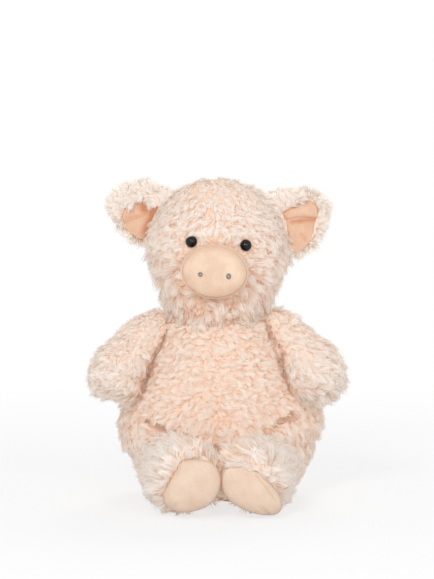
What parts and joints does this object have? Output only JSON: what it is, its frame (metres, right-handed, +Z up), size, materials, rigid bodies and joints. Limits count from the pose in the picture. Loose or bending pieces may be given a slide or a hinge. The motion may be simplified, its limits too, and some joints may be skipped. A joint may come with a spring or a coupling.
{
  "type": "plush pig",
  "caption": "Seated plush pig with a weighted seat, a nodding head, lifting arms and legs, flopping ears and a curled tail.",
  "frame": {"origin": "middle of the flat seat that the toy rests on", "axes": "+Z up from the seat to the crown, -Y the way the face and feet point, +X the toy's own left"},
  "size_m": [0.2124, 0.2347, 0.275],
  "materials": {
    "cream_fur": "matte",
    "peach_velour": "matte",
    "seam_velour": "matte",
    "grey_thread": "matte",
    "fibre_filling": "matte",
    "pouch_cloth": "matte",
    "black_eye": "gloss",
    "washer_plastic": "matte"
  },
  "bodies": {
    "torso": {"torso_cover": "cream_fur", "torso_stuffing": "fibre_filling", "bean_pouch": "pouch_cloth"},
    "head": {"head_cover": "cream_fur", "head_stuffing": "fibre_filling", "snout_cover": "peach_velour", "snout_stuffing": "fibre_filling", "snout_seam": "seam_velour", "nostril_left": "grey_thread", "nostril_right": "grey_thread", "eye_left": "black_eye", "eye_right": "black_eye", "eye_washer_left": "washer_plastic", "eye_washer_right": "washer_plastic"},
    "left_ear": {"ear_left": "cream_fur", "ear_lining_left": "peach_velour"},
    "right_ear": {"ear_right": "cream_fur", "ear_lining_right": "peach_velour"},
    "left_arm": {"arm_cover_left": "cream_fur", "arm_stuffing_left": "fibre_filling"},
    "right_arm": {"arm_cover_right": "cream_fur", "arm_stuffing_right": "fibre_filling"},
    "left_leg": {"leg_cover_left": "cream_fur", "leg_stuffing_left": "fibre_filling", "foot_pad_left": "peach_velour", "foot_seam_left": "seam_velour"},
    "right_leg": {"leg_cover_right": "cream_fur", "leg_stuffing_right": "fibre_filling", "foot_pad_right": "peach_velour", "foot_seam_right": "seam_velour"},
    "tail": {"tail": "peach_velour"}
  },
  "joints": [
    {"name": "neck_nod", "type": "hinge", "parent": "torso", "child": "head", "pos_m": [-0.003, 0, 0.19227], "axis": [1, 0, 0], "range_deg": [-12, 12], "stiffness_Nm_per_rad": 0.3},
    {"name": "left_ear_flop", "type": "hinge", "parent": "head", "child": "left_ear", "pos_m": [0.04965, 0.00308, 0.24175], "axis": [-0.2756, 0.0048, 0.9613], "range_deg": [-25, 25], "stiffness_Nm_per_rad": 0.02},
    {"name": "right_ear_flop", "type": "hinge", "parent": "head", "child": "right_ear", "pos_m": [-0.04811, 0.00479, 0.24859], "axis": [0.4067, -0.0071, 0.9135], "range_deg": [-25, 25], "stiffness_Nm_per_rad": 0.02},
    {"name": "left_arm_lift", "type": "hinge", "parent": "torso", "child": "left_arm", "pos_m": [0.04214, -0.00192, 0.158], "axis": [0, -1, 0], "range_deg": [0, 60], "stiffness_Nm_per_rad": 0.01},
    {"name": "right_arm_lift", "type": "hinge", "parent": "torso", "child": "right_arm", "pos_m": [-0.04814, -0.00192, 0.158], "axis": [0, 1, 0], "range_deg": [0, 60], "stiffness_Nm_per_rad": 0.01},
    {"name": "left_leg_lift", "type": "hinge", "parent": "torso", "child": "left_leg", "pos_m": [0.03991, -0.064, 0.06], "axis": [-1, 0, 0], "range_deg": [0, 40], "stiffness_Nm_per_rad": 0.02},
    {"name": "right_leg_lift", "type": "hinge", "parent": "torso", "child": "right_leg", "pos_m": [-0.03991, -0.064, 0.06], "axis": [-1, 0, 0], "range_deg": [0, 40], "stiffness_Nm_per_rad": 0.02},
    {"name": "tail_flex", "type": "hinge", "parent": "torso", "child": "tail", "pos_m": [0, 0.05952, 0.04424], "axis": [1, 0, 0], "range_deg": [-15, 15], "stiffness_Nm_per_rad": 0.005}
  ]
}
